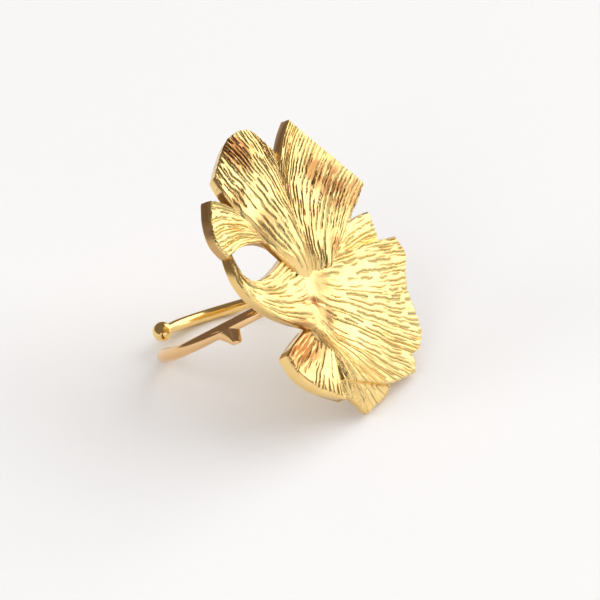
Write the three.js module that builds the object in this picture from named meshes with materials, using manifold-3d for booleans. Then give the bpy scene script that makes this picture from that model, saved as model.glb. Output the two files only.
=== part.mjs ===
// A cast brass finger ring with gold plating: two ribbed fan leaves, joined at their bases,
// on an open wire band whose two ends pass each other on the palm side.
//
// The ring is modelled as it is worn and then turned as it lies when it is put down on its side.
// As worn:  +X runs across the finger, from the low side of the leaves to their high side,
//           +Y runs along the finger,
//           +Z points out of the finger, through the middle of the leaves.
// Lengths are in millimetres and angles in degrees. The origin is the middle of the finger.

import * as THREE from 'three';
import { mergeVertices } from 'three/addons/utils/BufferGeometryUtils.js';
import Module from 'manifold-3d';

const wasm = await Module();
wasm.setup();

// ---------------------------------------------------------------- driving dimensions

const BAND_RADIUS = 9.3;           // middle of the wire to the middle of the finger
const PLAIN_WIRE = 1.3;            // diameter of the strand that carries the bud
const BALL_WIRE = 1.2;             // diameter of the strand that ends in a ball
const BALL_DIAMETER = 2;

const RIB_PITCH = 1.2;             // between the raised ribs, measured at the leaf's edge
const RIB_HEIGHT = 0.16;
const RIB_FADE = 0.35;             // the ribs rise over this share of their length
const RIB_STATIONS = 7;            // steps along a rib

const WIRE_SIDES = 12;
const WIRE_STEPS = 32;

// Angles round the finger, from the leaves (0) to the palm (180). The plain strand runs down the
// low side of the leaves and the other strand runs down the high side. From `parts` to `parted`
// a strand moves away from the middle plane, by `shift` along the finger.
const PLAIN_STRAND = { side: -1, start: -20, end: 165, parts: 25, parted: 120, shift: -1.2 };
const BALL_STRAND = { side: 1, start: -20, end: 190, parts: 80, parted: 180, shift: 0.95 };

const BUD = { angle: 71, lean: 5, length: 1.8, baseDiameter: 2.6, endDiameter: 1.2 };

// How the ring lies: turned about its own X, then its own Y, then its own Z.
const REST_TURN = { x: 27, y: 52.6, z: 36.9 };

const GOLD = { color: 0xd9a43b, roughness: 0.28, metalness: 1.0 };

// ---------------------------------------------------------------- the leaves' ribs

// A lobe is a sheet whose thickness lies behind it, against `facing`. It is a fan of ribs in
// counterclockwise order, seen from outside. The ribs start evenly spaced on the line from `from`
// to `to`. Each rib's row gives the place it passes halfway and its tip, as across, along and
// out, and says whether the leaf's edge has a corner at that tip.
const SMOOTH = false;
const CORNER = true;

const UPPER_LEAF = [
  {
    name: 'right lobe',
    thickness: 1.2,
    facing: [0, 0, 1],
    from: [-0.5, -0.5, 10.2],
    to: [-1.5, -0.5, 10.2],
    ribs: [
      //              halfway              tip
      ['right edge', [4.7, 3.7, 11.1], [10.2, 7.4, 11.8], SMOOTH],
      ['right', [2.5, 5.5, 11.2], [8, 9.5, 11.9], SMOOTH],
      ['middle', [0, 7, 11.1], [5.5, 11.8, 11.9], SMOOTH],
      ['left', [-2, 8.5, 10.9], [3, 14.2, 11.8], SMOOTH],
      ['point', [-3, 9.5, 10.7], [1.5, 16, 11.6], SMOOTH],
    ],
  },
  {
    name: 'middle lobe',
    thickness: 1.2,
    facing: [0, 0.5, 0.9],
    from: [-1, -0.5, 10.2],
    to: [-1.5, -0.5, 10.1],
    ribs: [
      //              halfway              tip
      ['under the right lobe', [-1.5, 9.5, 10.7], [-0.5, 12, 10.5], SMOOTH],
      ['right', [-2, 10, 10.7], [-1.5, 14, 10.3], SMOOTH],
      ['top', [-3, 10.5, 10.7], [-3.5, 16.5, 9.9], SMOOTH],
      ['top left', [-4.5, 10.2, 10.6], [-6.5, 16.5, 9.5], SMOOTH],
      ['left', [-7, 9.3, 10.4], [-8.8, 15.1, 9.2], SMOOTH],
      ['left corner', [-9.6, 8.3, 10], [-11, 13.5, 9.2], SMOOTH],
    ],
  },
  {
    name: 'left lobe',
    thickness: 1.2,
    facing: [0, 0, 1],
    from: [-1.5, -0.5, 10.1],
    to: [-2, -0.5, 10],
    ribs: [
      //              halfway              tip
      ['upper edge', [-9, 8.3, 9.9], [-13, 11.5, 8.9], SMOOTH],
      ['hollow', [-8.8, 7.3, 9.8], [-14, 9.5, 8.8], SMOOTH],
      ['low', [-8, 6.4, 9.8], [-14.4, 7.5, 8.9], SMOOTH],
      ['hole edge', [-7, 5.4, 9.8], [-13.5, 5.8, 9], SMOOTH],
    ],
  },
];

const LOWER_LEAF = [
  {
    name: 'left lobe',
    thickness: 1.1,
    facing: [0, 0, 1],
    from: [-1.5, 5, 9.3],
    to: [-3, -4.5, 10],
    ribs: [
      //              halfway              tip
      ['hole edge', [-11.5, 2.8, 9.8], [-12.7, 6.8, 9], SMOOTH],
      ['inner', [-11.6, 2, 9.6], [-12.8, 6.7, 8.9], SMOOTH],
      ['bowl', [-12, 1.2, 9.5], [-12.8, 6.6, 8.8], SMOOTH],
      ['rim', [-12.3, 0.5, 9.5], [-12.9, 6.5, 8.8], SMOOTH],
    ],
  },
  {
    name: 'low left lobe',
    thickness: 1.3,
    facing: [0, 0.1, 1],
    from: [-3, -2.5, 9.6],
    to: [-1.5, -4, 9.7],
    ribs: [
      //              halfway              tip
      ['neck', [-7.5, -4, 9], [-9.5, -5, 8.6], SMOOTH],
      ['left', [-6.5, -5.5, 9.4], [-9.1, -7.2, 8.9], SMOOTH],
      ['middle', [-5.5, -6.5, 10], [-7.7, -9.2, 9.5], SMOOTH],
      ['fold', [-4, -7, 10.5], [-4.8, -11.1, 10.2], SMOOTH],
    ],
  },
  {
    name: 'bottom lobe',
    thickness: 0.8,
    facing: [0, 0, 1],
    from: [-1, -3.5, 9.3],
    to: [0, -4.5, 9.5],
    ribs: [
      //              halfway              tip
      ['left', [-4, -7.2, 10.3], [-4.5, -10.5, 10], SMOOTH],
      ['left of the tip', [-3, -7.5, 10.3], [-3, -11.7, 9.9], SMOOTH],
      ['tip', [-2.5, -8, 10.3], [-1.3, -13.4, 9.7], CORNER],
      ['right', [-1, -8, 10.3], [2.3, -12.7, 9.9], SMOOTH],
      ['under the main lobe', [0.5, -7.7, 10.3], [4.4, -11.5, 10.3], SMOOTH],
    ],
  },
  {
    name: 'main lobe',
    thickness: 1,
    facing: [0, 0, 1],
    from: [-5.5, -3.5, 9.8],
    to: [-3, 2, 9.8],
    ribs: [
      //              halfway              tip
      ['lower edge', [-4.5, -6.5, 10.5], [-4.5, -9.3, 10.4], SMOOTH],
      ['low left', [-3.5, -6.8, 10.7], [-1, -10.5, 10.8], SMOOTH],
      ['low', [-2, -7, 10.8], [2.5, -11.6, 11], SMOOTH],
      ['low point', [-0.3, -6.8, 10.9], [7, -11.7, 11.3], CORNER],
      ['end of the point', [0.5, -6.4, 11], [7.7, -10.7, 11.4], CORNER],
      ['notch', [1, -6, 11], [7.5, -10, 11.4], CORNER],
      ['right of the notch', [1.6, -5.5, 11], [9.2, -9.7, 11.6], CORNER],
      ['right', [3, -4.5, 11], [10.4, -8.1, 11.7], SMOOTH],
      ['waist', [4, -3, 11], [10.8, -5.2, 11.6], SMOOTH],
      ['high', [5, -1.5, 11], [11.7, -2.6, 11.5], SMOOTH],
      ['upper', [5.5, 0.5, 11], [13.2, -0.6, 11.5], SMOOTH],
      ['top edge', [4.7, 2, 11], [12.8, 1.4, 11.4], SMOOTH],
    ],
  },
  {
    name: 'small lobe',
    thickness: 0.9,
    facing: [0, 0, 1],
    from: [0, 1, 9.8],
    to: [0, 2, 9.8],
    ribs: [
      //              halfway              tip
      ['lower', [5.3, 1.6, 10.6], [10.4, 1.6, 10.8], SMOOTH],
      ['right', [5.4, 2.8, 10.6], [10.6, 3.1, 10.8], SMOOTH],
      ['tip', [5.5, 4.2, 10.6], [10.6, 4.7, 10.8], SMOOTH],
    ],
  },
];

// ---------------------------------------------------------------- solids

// Turns a closed three.js geometry into a solid that can be joined.
function solidOf(geometry) {
  const bare = geometry.clone();
  bare.deleteAttribute('normal');
  bare.deleteAttribute('uv');
  const merged = mergeVertices(bare, 1e-5);
  return new wasm.Manifold(new wasm.Mesh({
    numProp: 3,
    vertProperties: new Float32Array(merged.attributes.position.array),
    triVerts: new Uint32Array(merged.index.array),
  }));
}

// Spreads a lobe's few ribs into enough sections to give every raised rib two faces. The edge is
// a smooth curve through the tips, broken at the corners.
function sectionsOf(lobe) {
  const from = new THREE.Vector3(...lobe.from);
  const to = new THREE.Vector3(...lobe.to);
  const ribs = lobe.ribs.map(([name, halfway, tip, corner], index) => ({
    name,
    root: from.clone().lerp(to, index / (lobe.ribs.length - 1)),
    halfway: new THREE.Vector3(...halfway),
    tip: new THREE.Vector3(...tip),
    corner,
  }));
  const sections = [];
  let first = 0;
  for (let last = 1; last < ribs.length; last += 1) {
    if (!ribs[last].corner && last < ribs.length - 1) continue;
    const run = ribs.slice(first, last + 1);
    const roots = new THREE.CatmullRomCurve3(run.map((rib) => rib.root), false, 'catmullrom');
    const halves = new THREE.CatmullRomCurve3(run.map((rib) => rib.halfway), false, 'catmullrom');
    const tips = new THREE.CatmullRomCurve3(run.map((rib) => rib.tip), false, 'catmullrom');
    const width = Math.max(roots.getLength(), halves.getLength(), tips.getLength());
    const steps = 2 * Math.max(1, Math.round(width / RIB_PITCH));
    for (let step = first === 0 ? 0 : 1; step <= steps; step += 1) {
      const place = step / steps;
      sections.push({
        root: roots.getPoint(place),
        halfway: halves.getPoint(place),
        tip: tips.getPoint(place),
      });
    }
    first = last;
  }
  return sections;
}

// The place at `share` of the way along a rib, on the curve through its root, middle and tip.
function alongRib({ root, halfway, tip }, share) {
  const bend = halfway.clone().multiplyScalar(2).sub(root.clone().add(tip).multiplyScalar(0.5));
  return new THREE.QuadraticBezierCurve3(root, bend, tip).getPoint(share);
}

// One lobe: a curved sheet with raised ribs on the outside and a plain back.
function lobeSolid(lobe) {
  const sections = sectionsOf(lobe);
  const columns = sections.length;
  const rows = RIB_STATIONS + 1;
  const middle = sections.map((section) => Array.from({ length: rows }, (_, row) => (
    alongRib(section, row / RIB_STATIONS))));
  const facing = new THREE.Vector3(...lobe.facing).normalize();
  const front = [];
  const back = [];
  for (let column = 0; column < columns; column += 1) {
    for (let row = 0; row < rows; row += 1) {
      const isRaised = column % 2 === 1;
      const rise = (isRaised ? 0.5 : -0.5) * RIB_HEIGHT;
      const relief = rise * Math.min(1, row / RIB_STATIONS / RIB_FADE);
      front.push(middle[column][row].clone().addScaledVector(facing, relief));
      back.push(middle[column][row].clone().addScaledVector(facing, -lobe.thickness));
    }
  }
  const positions = [...front, ...back].flatMap((point) => point.toArray());
  const backStart = columns * rows;
  const faces = [];
  const quad = (a, b, c, d) => faces.push(a, b, c, a, c, d);
  const at = (column, row) => column * rows + row;
  for (let column = 0; column < columns - 1; column += 1) {
    for (let row = 0; row < rows - 1; row += 1) {
      const [a, b] = [at(column, row), at(column, row + 1)];
      const [c, d] = [at(column + 1, row + 1), at(column + 1, row)];
      quad(a, b, c, d);
      quad(backStart + d, backStart + c, backStart + b, backStart + a);
    }
  }
  const rim = [];
  for (let row = 0; row < rows - 1; row += 1) rim.push(at(0, row));
  for (let column = 0; column < columns - 1; column += 1) rim.push(at(column, rows - 1));
  for (let row = rows - 1; row > 0; row -= 1) rim.push(at(columns - 1, row));
  for (let column = columns - 1; column > 0; column -= 1) rim.push(at(column, 0));
  rim.forEach((here, index) => {
    const next = rim[(index + 1) % rim.length];
    quad(here, backStart + here, backStart + next, next);
  });
  const geometry = new THREE.BufferGeometry();
  geometry.setAttribute('position', new THREE.Float32BufferAttribute(positions, 3));
  geometry.setIndex(faces);
  return solidOf(geometry);
}

// The centre line of one strand of the band.
function strandPoint(strand, angle) {
  const radians = THREE.MathUtils.degToRad(angle);
  const apart = THREE.MathUtils.smoothstep(angle, strand.parts, strand.parted);
  return new THREE.Vector3(
    strand.side * BAND_RADIUS * Math.sin(radians),
    strand.shift * apart,
    BAND_RADIUS * Math.cos(radians),
  );
}

function strandSolid(strand, diameter) {
  const stops = 24;
  const points = Array.from({ length: stops + 1 }, (_, stop) => (
    strandPoint(strand, THREE.MathUtils.lerp(strand.start, strand.end, stop / stops))));
  const section = new THREE.Shape().absarc(0, 0, diameter / 2, 0, 2 * Math.PI);
  return solidOf(new THREE.ExtrudeGeometry(section, {
    extrudePath: new THREE.CatmullRomCurve3(points),
    steps: WIRE_STEPS,
    curveSegments: WIRE_SIDES / 2,
    bevelEnabled: false,
  }));
}

function ballSolid(centre, diameter) {
  const ball = new THREE.SphereGeometry(diameter / 2, 14, 10);
  ball.translate(centre.x, centre.y, centre.z);
  return solidOf(ball);
}

// The cut twig end that stands up beside the plain strand, pointing back along the finger.
function budSolid() {
  const bud = new THREE.CylinderGeometry(BUD.endDiameter / 2, BUD.baseDiameter / 2, BUD.length, 10);
  bud.translate(0, BUD.length / 2, 0);
  const foot = strandPoint(PLAIN_STRAND, BUD.angle);
  const towardLeaves = strandPoint(PLAIN_STRAND, BUD.angle - 1).sub(foot).setY(0).normalize();
  const lean = THREE.MathUtils.degToRad(BUD.lean);
  const direction = new THREE.Vector3(0, -Math.cos(lean), 0).addScaledVector(towardLeaves, Math.sin(lean));
  bud.applyQuaternion(new THREE.Quaternion().setFromUnitVectors(new THREE.Vector3(0, 1, 0), direction));
  bud.translate(foot.x, foot.y, foot.z);
  return solidOf(bud);
}

function ringSolid() {
  const pieces = [
    ...UPPER_LEAF.map(lobeSolid),
    ...LOWER_LEAF.map(lobeSolid),
    strandSolid(PLAIN_STRAND, PLAIN_WIRE),
    ballSolid(strandPoint(PLAIN_STRAND, PLAIN_STRAND.start), PLAIN_WIRE),
    ballSolid(strandPoint(PLAIN_STRAND, PLAIN_STRAND.end), PLAIN_WIRE),
    strandSolid(BALL_STRAND, BALL_WIRE),
    ballSolid(strandPoint(BALL_STRAND, BALL_STRAND.end), BALL_DIAMETER),
    budSolid(),
  ];
  return pieces.reduce((whole, piece) => whole.add(piece));
}

function ringGeometry() {
  const { vertProperties, triVerts } = ringSolid().getMesh();
  const geometry = new THREE.BufferGeometry();
  geometry.setAttribute('position', new THREE.BufferAttribute(vertProperties, 3));
  geometry.setIndex(new THREE.BufferAttribute(triVerts, 1));
  geometry.computeVertexNormals();
  return geometry;
}

// ---------------------------------------------------------------- the ring as it lies

const ring = new THREE.Mesh(ringGeometry(), new THREE.MeshStandardMaterial(GOLD));
ring.name = 'leaf_ring';
ring.rotation.set(
  THREE.MathUtils.degToRad(REST_TURN.x),
  THREE.MathUtils.degToRad(REST_TURN.y),
  THREE.MathUtils.degToRad(REST_TURN.z),
);

const group = new THREE.Group();
group.add(ring);
group.updateMatrixWorld(true);

// The ring is moved so that the origin is below its middle, on the surface it lies on.
const box = new THREE.Box3().setFromObject(ring, true);
const middle = box.getCenter(new THREE.Vector3());
ring.position.set(-middle.x, -middle.y, -box.min.z);

export default group;
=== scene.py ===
import math

import bpy
import numpy as np
from bpy.props import FloatProperty, FloatVectorProperty, PointerProperty
from mathutils import Euler, Matrix, Vector
from mathutils.kdtree import KDTree


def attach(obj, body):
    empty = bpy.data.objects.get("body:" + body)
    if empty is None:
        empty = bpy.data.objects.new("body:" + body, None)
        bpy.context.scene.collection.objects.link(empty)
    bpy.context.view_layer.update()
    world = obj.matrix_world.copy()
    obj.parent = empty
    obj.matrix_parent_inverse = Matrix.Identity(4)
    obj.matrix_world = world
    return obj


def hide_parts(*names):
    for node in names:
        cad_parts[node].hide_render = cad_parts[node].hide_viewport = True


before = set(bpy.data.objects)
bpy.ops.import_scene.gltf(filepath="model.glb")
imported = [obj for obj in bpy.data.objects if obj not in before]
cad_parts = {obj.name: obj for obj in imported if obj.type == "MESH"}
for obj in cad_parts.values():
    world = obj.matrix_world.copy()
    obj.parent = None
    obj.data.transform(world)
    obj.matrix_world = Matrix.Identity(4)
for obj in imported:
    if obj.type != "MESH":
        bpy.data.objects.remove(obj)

bl_info = {
    "name": "Leaf Ring",
    "version": (1, 0, 0),
    "blender": (4, 5, 0),
    "location": "View3D > Sidebar > Leaf Ring",
    "description": "Builds a gold-plated ring of two ribbed fan leaves on an open wire band",
    "category": "Add Mesh",
}

# As worn, +X runs across the finger, +Y along it and +Z out of it. The tables below are in
# millimetres in that frame. The ring lies turned by REST_TURN about X, then Y, then Z, with the
# middle of the finger at FINGER_MIDDLE.
MM = 0.001
REST_TURN = (27, 52.6, 36.9)
FINGER_MIDDLE = (-4.01, 2.26, 5.76)

NODE = "leaf_ring"
BODY = "root"

# -------------------- the leaves' ribs

# A lobe is a sheet whose thickness lies behind it, against `facing`. It is a fan of ribs in
# counterclockwise order, seen from outside. The ribs start evenly spaced between the two `roots`.
# A rib's row gives the place it passes halfway, its tip, and whether the leaf's edge has a corner
# there. `smooth` is the share of the length, from the root, over which the ribs fade in, and
# `sunk` is how far the roots sink below their neighbours. `joined` gives, for the first and the
# last rib, the share up to which that side runs into its neighbour. `broken` is how much of the
# grooves is filled in, `cut` how deep they are beside the deepest, and the last entry how much
# painted shade darkens the lobe's rim walls and the edge of its back.
SMOOTH, CORNER = False, True

UPPER_LEAF = [
    {
        "name": "right lobe",
        "thickness": 1.2, "facing": (0, 0, 1),
        "roots": [(-0.5, -0.5, 10.2), (-1.5, -0.5, 10.2)],
        "smooth": 0.15, "sunk": 0.8, "joined": (0.4, 0.62),
        "broken": 0.2, "cut": 1.0, "rim_shading": 0.68,
        "ribs": [
            ("right edge", (4.7, 3.7, 11.1), (10.2, 7.4, 11.8), SMOOTH),
            ("right", (2.5, 5.5, 11.2), (8, 9.5, 11.9), SMOOTH),
            ("middle", (0, 7, 11.1), (5.5, 11.8, 11.9), SMOOTH),
            ("left", (-2, 8.5, 10.9), (3, 14.2, 11.8), SMOOTH),
            ("point", (-3, 9.5, 10.7), (1.5, 16, 11.6), SMOOTH),
        ],
    },
    {
        "name": "middle lobe",
        "thickness": 1.2, "facing": (0, 0.5, 0.9),
        "roots": [(-1, -0.5, 10.2), (-1.5, -0.5, 10.1)],
        "smooth": 0.15, "sunk": 0.8, "joined": (0.95, 0.55),
        "broken": 0.1, "cut": 1.0, "rim_shading": 0.15,
        "ribs": [
            ("under the right lobe", (-1.5, 9.5, 10.7), (-0.5, 12, 10.5), SMOOTH),
            ("right", (-2, 10, 10.7), (-1.5, 14, 10.3), SMOOTH),
            ("top", (-3, 10.5, 10.7), (-3.5, 16.5, 9.9), SMOOTH),
            ("top left", (-4.5, 10.2, 10.6), (-6.5, 16.5, 9.5), SMOOTH),
            ("left", (-7, 9.3, 10.4), (-8.8, 15.1, 9.2), SMOOTH),
            ("left corner", (-9.6, 8.3, 10), (-11, 13.5, 9.2), SMOOTH),
        ],
    },
    {
        "name": "left lobe",
        "thickness": 1.2, "facing": (0, 0, 1),
        "roots": [(-1.5, -0.5, 10.1), (-2, -0.5, 10)],
        "smooth": 0.15, "sunk": 0.8, "joined": (0.62, 0.24),
        "broken": 0.1, "cut": 1.0, "rim_shading": 0.68,
        "ribs": [
            ("upper edge", (-9, 8.3, 9.9), (-13, 11.5, 8.9), SMOOTH),
            ("hollow", (-8.8, 7.3, 9.8), (-14, 9.5, 8.8), SMOOTH),
            ("low", (-8, 6.4, 9.8), (-14.4, 7.5, 8.9), SMOOTH),
            ("hole edge", (-7, 5.4, 9.8), (-13.5, 5.8, 9), SMOOTH),
        ],
    },
]

LOWER_LEAF = [
    {
        "name": "left lobe",
        "thickness": 1.1, "facing": (0, 0, 1),
        "roots": [(-1.5, 5, 9.3), (-3, -4.5, 10)],
        "smooth": 0.08, "sunk": 0.0, "joined": (0.1, 0.2),
        "broken": 0.35, "cut": 1.0, "rim_shading": 0.2,
        "ribs": [
            ("hole edge", (-11.5, 2.8, 9.8), (-12.7, 6.8, 9), SMOOTH),
            ("inner", (-11.6, 2, 9.6), (-12.8, 6.7, 8.9), SMOOTH),
            ("bowl", (-12, 1.2, 9.5), (-12.8, 6.6, 8.8), SMOOTH),
            ("rim", (-12.3, 0.5, 9.5), (-12.9, 6.5, 8.8), SMOOTH),
        ],
    },
    {
        "name": "low left lobe",
        "thickness": 1.3, "facing": (0, 0.1, 1),
        "roots": [(-3, -2.5, 9.6), (-1.5, -4, 9.7)],
        "smooth": 0.3, "sunk": 0.2, "joined": (0.3, 0.95),
        "broken": 0.5, "cut": 0.55, "rim_shading": 0.1,
        "ribs": [
            ("neck", (-7.5, -4, 9), (-9.5, -5, 8.6), SMOOTH),
            ("left", (-6.5, -5.5, 9.4), (-9.1, -7.2, 8.9), SMOOTH),
            ("middle", (-5.5, -6.5, 10), (-7.7, -9.2, 9.5), SMOOTH),
            ("fold", (-4, -7, 10.5), (-4.8, -11.1, 10.2), SMOOTH),
        ],
    },
    {
        "name": "bottom lobe",
        "thickness": 0.8, "facing": (0, 0, 1),
        "roots": [(-1, -3.5, 9.3), (0, -4.5, 9.5)],
        "smooth": 0.3, "sunk": 0.3, "joined": (1.0, 0.95),
        "broken": 0.3, "cut": 1.0, "rim_shading": 0.2,
        "ribs": [
            ("left", (-4, -7.2, 10.3), (-4.5, -10.5, 10), SMOOTH),
            ("left of the tip", (-3, -7.5, 10.3), (-3, -11.7, 9.9), SMOOTH),
            ("tip", (-2.5, -8, 10.3), (-1.3, -13.4, 9.7), CORNER),
            ("right", (-1, -8, 10.3), (2.3, -12.7, 9.9), SMOOTH),
            ("under the main lobe", (0.5, -7.7, 10.3), (4.4, -11.5, 10.3), SMOOTH),
        ],
    },
    {
        "name": "main lobe",
        "thickness": 1, "facing": (0, 0, 1),
        "roots": [(-5.5, -3.5, 9.8), (-3, 2, 9.8)],
        "smooth": 0.22, "sunk": 0.1, "joined": (0.92, 0.45),
        "broken": 0.35, "cut": 1.0, "rim_shading": 0.3,
        "ribs": [
            ("lower edge", (-4.5, -6.5, 10.5), (-4.5, -9.3, 10.4), SMOOTH),
            ("low left", (-3.5, -6.8, 10.7), (-1, -10.5, 10.8), SMOOTH),
            ("low", (-2, -7, 10.8), (2.5, -11.6, 11), SMOOTH),
            ("low point", (-0.3, -6.8, 10.9), (7, -11.7, 11.3), CORNER),
            ("end of the point", (0.5, -6.4, 11), (7.7, -10.7, 11.4), CORNER),
            ("notch", (1, -6, 11), (7.5, -10, 11.4), CORNER),
            ("right of the notch", (1.6, -5.5, 11), (9.2, -9.7, 11.6), CORNER),
            ("right", (3, -4.5, 11), (10.4, -8.1, 11.7), SMOOTH),
            ("waist", (4, -3, 11), (10.8, -5.2, 11.6), SMOOTH),
            ("high", (5, -1.5, 11), (11.7, -2.6, 11.5), SMOOTH),
            ("upper", (5.5, 0.5, 11), (13.2, -0.6, 11.5), SMOOTH),
            ("top edge", (4.7, 2, 11), (12.8, 1.4, 11.4), SMOOTH),
        ],
    },
    {
        "name": "small lobe",
        "thickness": 0.9, "facing": (0, 0, 1),
        "roots": [(0, 1, 9.8), (0, 2, 9.8)],
        "smooth": 0.2, "sunk": 0.0, "joined": (0.95, 0.6),
        "broken": 0.3, "cut": 1.0, "rim_shading": 0.3,
        "ribs": [
            ("lower", (5.3, 1.6, 10.6), (10.4, 1.6, 10.8), SMOOTH),
            ("right", (5.4, 2.8, 10.6), (10.6, 3.1, 10.8), SMOOTH),
            ("tip", (5.5, 4.2, 10.6), (10.6, 4.7, 10.8), SMOOTH),
        ],
    },
]

# Dents in the face of the lower leaf: depth, how far the sides reach, and the line along the
# bottom, as worn.
HOLLOWS = [
    ("throat", 0.45, 1.6, [(-1.0, -1.2), (-1.4, -2.9), (-2.2, -4.6)]),
    ("crescent", 0.3, 0.34, [(-4.6, -0.9), (-3.4, -1.2), (-2.2, -2.0)]),
]

# Patches of painted shade, in the hollows and under the rims, and of painted reflection of darker
# surroundings, on the faces: middle as worn, reach and strength. A patch fades out between the
# two shares of its reach given just below.
PAINTED_SHADE_FADE = (0.4, 1.2)
PAINTED_SHADE_PATCHES = [
    ("top of the middle lobe", (-6.9, 14.9), 2.4, 1.0),
    ("left corner of the middle lobe", (-9.9, 10.8), 1.3, 0.7),
    ("left side of the middle lobe", (-6.9, 7.4), 2.2, 0.6),
    ("right lobe, by the middle lobe", (2.4, 10.4), 2.2, 0.85),
    ("right lobe, middle", (4.6, 8.4), 3.0, 0.92),
    ("right lobe, outer corner", (7.8, 7.0), 2.4, 0.7),
    ("right lobe, low", (2.4, 2.8), 1.4, 0.7),
    ("neck of the low left lobe", (-7.4, -4.6), 2.9, 1.0),
    ("crescent", (-3.1, -1.5), 0.9, 1.0),
    ("throat", (-2.6, -2.7), 2.0, 0.6),
    ("above the throat", (-1.2, 0.2), 1.5, 0.5),
]

# Where lobes are joined, a side sinks by TUCK_DEPTH over TUCK_WIDTH, less where the lobe is
# narrower than TUCK_FULL. A side turns from joined to free over JOIN_BLEND of its length either
# way. The roots sink over ROOT_SHARE of the length. The back stays THINNEST behind the sheet.
TUCK_DEPTH = 0.3
TUCK_WIDTH = 0.6
TUCK_FULL = 3.0
JOIN_BLEND = 0.06
ROOT_SHARE = 0.2
THINNEST = 0.25

# The folds between the lobes are softened over BLEND, fully up to FOLD_CORE of it, by moving each
# point FOLD_STEPS times by the share FOLD_PULL towards its neighbours' middle.
BLEND = 0.3
FOLD_CORE = 0.2
FOLD_STEPS = 14
FOLD_PULL = 0.6

# A lobe's mesh has rows STATION apart along a rib, up to the share EDGE_START. The rounded edge
# then has a row at each of EDGE_ROWS of EDGE_BAND before the tip. The ragged edge reaches down to
# WALL_TOP below the face. The back has every BACK_STEP-th point of the face's mesh. Between two
# corners lie FEWEST_COLUMNS or more, for a width measured along MEASURING_POINTS.
STATION = 0.17
EDGE_START = 0.967
EDGE_BAND = 0.03
EDGE_ROWS = (0.8, 0.6, 0.42, 0.27, 0.15, 0.06, 0.0)
WALL_TOP = 0.14
BACK_STEP = 4
FEWEST_COLUMNS = 6
MEASURING_POINTS = 200

# The ribs fork as the fan widens. Its spread is 1 at its widest, and taken as NARROWEST or more.
# Each of up to MOST_HALVINGS halvings of the spread drops every second groove, over the part
# FORKING of that halving. The ribs stray as if the spread were LEAST_SPREAD or more.
# A groove draws one of GROOVE_DRAWS pairs of random numbers from -1 to 1. They move it by up to
# SHIFT_SPREAD of a rib's pitch and change its width and depth by WIDTH_SPREAD and DEPTH_SPREAD.
NARROWEST = 0.04
LEAST_SPREAD = 0.1
MOST_HALVINGS = 3.999
FORKING = (0.25, 0.75)
GROOVE_DRAWS = 4096
SHIFT_SPREAD = 0.3
WIDTH_SPREAD = 0.35
DEPTH_SPREAD = 0.25

# A noise of BREAKS per millimetre along a groove fills it in: fully where the noise lies FILLED
# below `broken`, and not at all from OPEN below it. NEXT_GROOVE is the step in that noise from
# one groove to the next.
BREAKS = 0.75
FILLED = 0.95
OPEN = 0.35
NEXT_GROOVE = (7.31, 3.7)

# Layers of noise: features per millimetre across and along the ribs, weight, and what is added to
# the lobe's seed. WANDER moves the ribs sideways, RAGGED moves the edge and WAVE lifts the face.
# A lobe's seed adds up LOBE_SEED, SEED_STEP for each lobe before it and the number of lobes.
WANDER = [(0.4, 0.5, 1.0, 0), (1.1, 1.3, 0.5, 1), (2.3, 3.1, 0.4, 6)]
RAGGED = [(0.9, 1.0, 0.6, 7), (2.7, 1.0, 0.4, 8)]
WAVE = [(0.6, 0.5, 0.05, 5)]
FILL_SEED, DRAW_SEED = 2, 3
LOBE_SEED, SEED_STEP = 11, 17

# The ragged edge begins RAGGED_REACH before the tip, with a notch NOTCH as deep at each groove.
# The grooves run out over GROOVE_END before the tip, to END_DEPTH of their depth. The crests
# stand CREST of that depth above the sheet. The ribs begin at RIB_START of `smooth`.
NOTCH = 0.4
RAGGED_REACH = 0.8
GROOVE_END = 0.3
END_DEPTH = 0.1
CREST = 0.3
RIB_START = 0.4

# The noise repeats after NOISE_TABLE features. Points closer than SAME_POINT metres are the same,
# and edges sharper than SHARP_ANGLE degrees stay sharp.
NOISE_TABLE = 64
SAME_POINT = 1e-7
SHARP_ANGLE = 50

# -------------------- the band

# Angles round the finger from the leaves (0) to the palm (180). Between `parts` and `parted` a
# strand moves away from the middle plane. side: -1 is the low side of the leaves, 1 the high side.
PLAIN_STRAND = {"side": -1, "start": -20, "end": 165, "parts": 25, "parted": 120, "shift": -1.2}
BALL_STRAND = {"side": 1, "start": -20, "end": 190, "parts": 80, "parted": 180, "shift": 0.95}
# The plain strand narrows by END_TAPER over its last TAPER_ANGLE.
END_TAPER = 0.06
TAPER_ANGLE = 30

# The bud stands at `angle` on the plain strand and leans towards the leaves. Its foot spreads over
# a share of its length, further back towards the palm than ahead. Past the start of its lip, the
# end is rounded by `turn`. BUD_ROWS are the mesh rows of the lip.
BUD = {"angle": 71, "lean": 5}
BUD_FOOT = {"share": 0.9, "curve": 1.2, "back": 1.9, "ahead": 0.5}
BUD_LIP = {"start": 0.8, "share": 0.2, "turn": 0.6}
BUD_ROWS = [0.86, 0.92, 0.97, 0.99, 1.0]
FOOT_ROWS = 12

# The wires' mesh: sides, rows of the round start, of the length and of the end, and the square of
# the least radius, which keeps the ends from closing.
WIRE_SIDES = 28
START_ROWS = 12
LENGTH_ROWS = 150
END_ROWS = 40
LEAST_SQUARE = 1e-6

# -------------------- the plating, and the shade and reflections painted on it

# A rib's tone turns from crest to the painted shade of the grooves between these depths of the
# groove. In the painted patches, the groove's painted shade is DEEP_SHADE of the patches' colour.
TONE_FROM, TONE_TO = 0.3, 0.85
DEEP_SHADE = 0.4

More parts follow.
